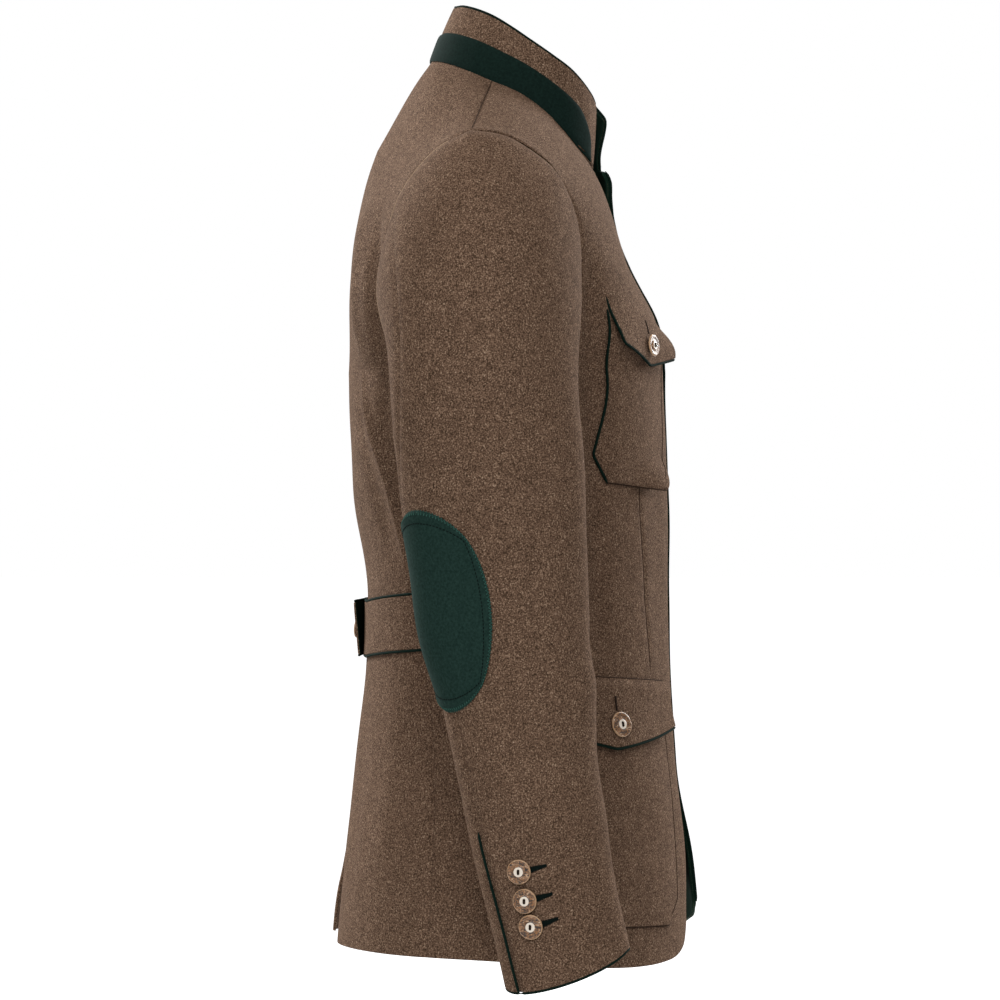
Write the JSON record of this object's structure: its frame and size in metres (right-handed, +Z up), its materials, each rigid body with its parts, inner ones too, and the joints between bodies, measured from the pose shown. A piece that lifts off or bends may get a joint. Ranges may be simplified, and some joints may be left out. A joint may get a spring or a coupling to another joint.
{
  "type": "jacket",
  "caption": "Hollow men's wool jacket with a stand collar, flapped patch pockets, a half belt, felt elbow patches and horn buttons, held as if worn",
  "frame": {"origin": "on the wearer's midline, level with the points where the shoulder seams meet the collar, above the middle of the shoulder line", "axes": "+Z up, -Y to the wearer's front, +X to the wearer's left"},
  "size_m": [0.6148, 0.3037, 0.783],
  "materials": {
    "loden": "matte grey-brown heathered loden, fulled wool",
    "green_felt": "matte dark green wool felt and braid",
    "horn": "polished stag horn, mottled grey-brown"
  },
  "bodies": {
    "root": {"back_left": "loden", "back_right": "loden", "belt_button": "horn", "belt_left": "loden", "belt_left_piping_bottom": "green_felt", "belt_left_piping_top": "green_felt", "belt_right": "loden", "belt_right_piping_bottom": "green_felt", "belt_right_piping_top": "green_felt", "chest_left_button": "horn", "chest_left_flap": "loden", "chest_left_flap_piping": "green_felt", "chest_left_pocket": "loden", "chest_left_pocket_piping": "green_felt", "chest_right_button": "horn", "chest_right_flap": "loden", "chest_right_flap_piping": "green_felt", "chest_right_pocket": "loden", "chest_right_pocket_piping": "green_felt", "collar": "loden", "collar_band": "green_felt", "collar_lining": "green_felt", "collar_piping": "green_felt", "cuff_left_button_1": "horn", "cuff_left_button_2": "horn", "cuff_left_button_3": "horn", "cuff_left_hem_piping": "green_felt", "cuff_left_slit_piping": "green_felt", "cuff_right_button_1": "horn", "cuff_right_button_2": "horn", "cuff_right_button_3": "horn", "cuff_right_hem_piping": "green_felt", "cuff_right_slit_piping": "green_felt", "elbow_patch_left": "green_felt", "elbow_patch_right": "green_felt", "facing_left": "green_felt", "front_left": "loden", "front_left_piping": "green_felt", "front_right": "loden", "lower_left_button": "horn", "lower_left_flap": "loden", "lower_left_flap_piping": "green_felt", "lower_left_pocket": "loden", "lower_left_pocket_piping": "green_felt", "lower_right_button": "horn", "lower_right_flap": "loden", "lower_right_flap_piping": "green_felt", "lower_right_pocket": "loden", "lower_right_pocket_piping": "green_felt", "side_left": "loden", "side_right": "loden", "sleeve_left_under": "loden", "sleeve_left_upper": "loden", "sleeve_right_under": "loden", "sleeve_right_upper": "loden"}
  },
  "joints": []
}
